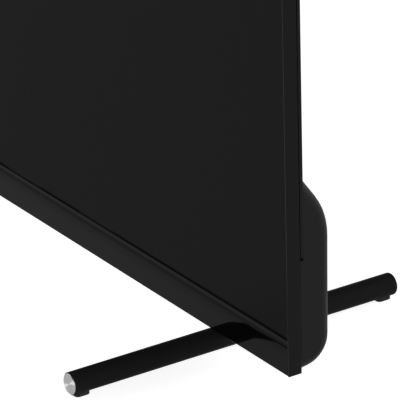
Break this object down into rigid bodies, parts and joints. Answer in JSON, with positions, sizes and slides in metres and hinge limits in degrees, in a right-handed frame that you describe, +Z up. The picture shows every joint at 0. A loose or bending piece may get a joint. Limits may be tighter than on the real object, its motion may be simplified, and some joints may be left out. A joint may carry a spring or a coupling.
{
  "type": "flat screen television",
  "caption": "Slim flat screen television with a full width lower bulge, rear housing with sockets and wall mount nuts, on two round bar feet.",
  "frame": {"origin": "on the table, under the middle of the bounding box", "axes": "+X to the viewer's right along the set, +Y to the back, +Z up; the screen faces -Y"},
  "size_m": [0.96, 0.2646, 0.5895],
  "materials": {
    "screen": "matt anti-glare front film over black glass",
    "frame_plastic": "black moulded polycarbonate, fine matt texture",
    "gloss_bezel": "black piano gloss moulding with a hard coat",
    "frame_metal": "black satin painted extrusion",
    "clear_film": "clear or frosted optical plastic",
    "white_film": "white reflective film",
    "bare_aluminium": "mill finish",
    "rear_sheet": "black textured powder coat on steel sheet",
    "rear_plastic": "black moulded polystyrene with a fine spark texture",
    "steel": "zinc plated steel",
    "board": "green solder mask on glass epoxy",
    "component": "moulded electronic parts",
    "socket_metal": "nickel plated socket shell",
    "socket_plastic": "black nylon",
    "ribbon": "polyimide film",
    "speaker_paper": "pressed paper cone",
    "surround_rubber": "butyl rubber",
    "magnet": "ferrite and plated steel",
    "foot_paint": "black satin paint on steel tube",
    "foot_cap": "face turned on a lathe, clear coated",
    "pad_rubber": "soft rubber",
    "lens": "dark red infrared lens"
  },
  "bodies": {
    "set": {"screen_glass": "screen", "middle_frame": "frame_plastic", "prism_film": "clear_film", "diffuser_film": "clear_film", "light_guide_plate": "clear_film", "reflector_film": "white_film", "led_bar": "bare_aluminium", "led_packages": "white_film", "led_heat_spreader": "bare_aluminium", "back_chassis": "bare_aluminium", "side_frame_left": "frame_metal", "side_frame_right": "frame_metal", "top_frame": "frame_metal", "corner_brackets": "steel", "frame_screws": "steel", "bottom_bezel": "gloss_bezel", "receiver_window": "lens", "receiver_board": "board", "source_board": "board", "panel_ribbons": "ribbon", "rear_panel": "rear_sheet", "rear_cover": "rear_plastic", "cover_screws": "steel", "main_board": "board", "power_board": "board", "board_posts": "steel", "board_screws": "steel", "processor_heat_sink": "bare_aluminium", "wireless_module": "board", "power_transformer": "component", "power_capacitors": "component", "board_link_cable": "socket_plastic", "display_cable": "ribbon", "hdmi_sockets": "socket_metal", "usb_sockets": "socket_metal", "lan_socket": "socket_metal", "audio_sockets": "socket_plastic", "tuner_socket": "socket_metal", "mains_inlet": "socket_plastic", "speaker_boxes": "socket_plastic", "speaker_frames": "steel", "speaker_magnets": "magnet", "speaker_surround_left": "surround_rubber", "speaker_surround_right": "surround_rubber", "key_housing": "socket_plastic", "wall_mount_nuts": "steel", "foot_tube_left": "foot_paint", "foot_tube_right": "foot_paint", "foot_saddles": "foot_paint", "foot_front_caps": "foot_cap", "foot_rear_plugs": "socket_plastic", "foot_pads": "pad_rubber", "foot_screws": "steel", "stand_brackets": "steel"},
    "speaker_cone_left": {"speaker_cone_left": "speaker_paper"},
    "speaker_cone_right": {"speaker_cone_right": "speaker_paper"},
    "key_gimbal": {"key_gimbal": "socket_plastic"},
    "key_stick": {"key_stick": "socket_plastic"},
    "key_knob": {"key_knob": "frame_plastic"}
  },
  "joints": [
    {"name": "cone_left_travel", "type": "slide", "parent": "set", "child": "speaker_cone_left", "axis": [0, 0, 1], "range_m": [-0.0005, 0.0005], "stiffness_N_per_m": 1500, "deforming": ["speaker_surround_left"]},
    {"name": "cone_right_travel", "type": "slide", "parent": "set", "child": "speaker_cone_right", "axis": [0, 0, 1], "range_m": [-0.0005, 0.0005], "stiffness_N_per_m": 1500, "deforming": ["speaker_surround_right"]},
    {"name": "key_tilt_up_down", "type": "hinge", "parent": "set", "child": "key_gimbal", "pos_m": [0.435, 0.0033, 0.0675], "axis": [1, 0, 0], "range_deg": [-6, 6], "stiffness_Nm_per_rad": 0.05},
    {"name": "key_tilt_sideways", "type": "hinge", "parent": "key_gimbal", "child": "key_stick", "pos_m": [0.435, 0.0033, 0.0675], "axis": [0, 0, 1], "range_deg": [-6, 6], "stiffness_Nm_per_rad": 0.05},
    {"name": "key_press", "type": "slide", "parent": "key_stick", "child": "key_knob", "axis": [0, -1, 0], "range_m": [0, 0.0006], "stiffness_N_per_m": 800}
  ]
}
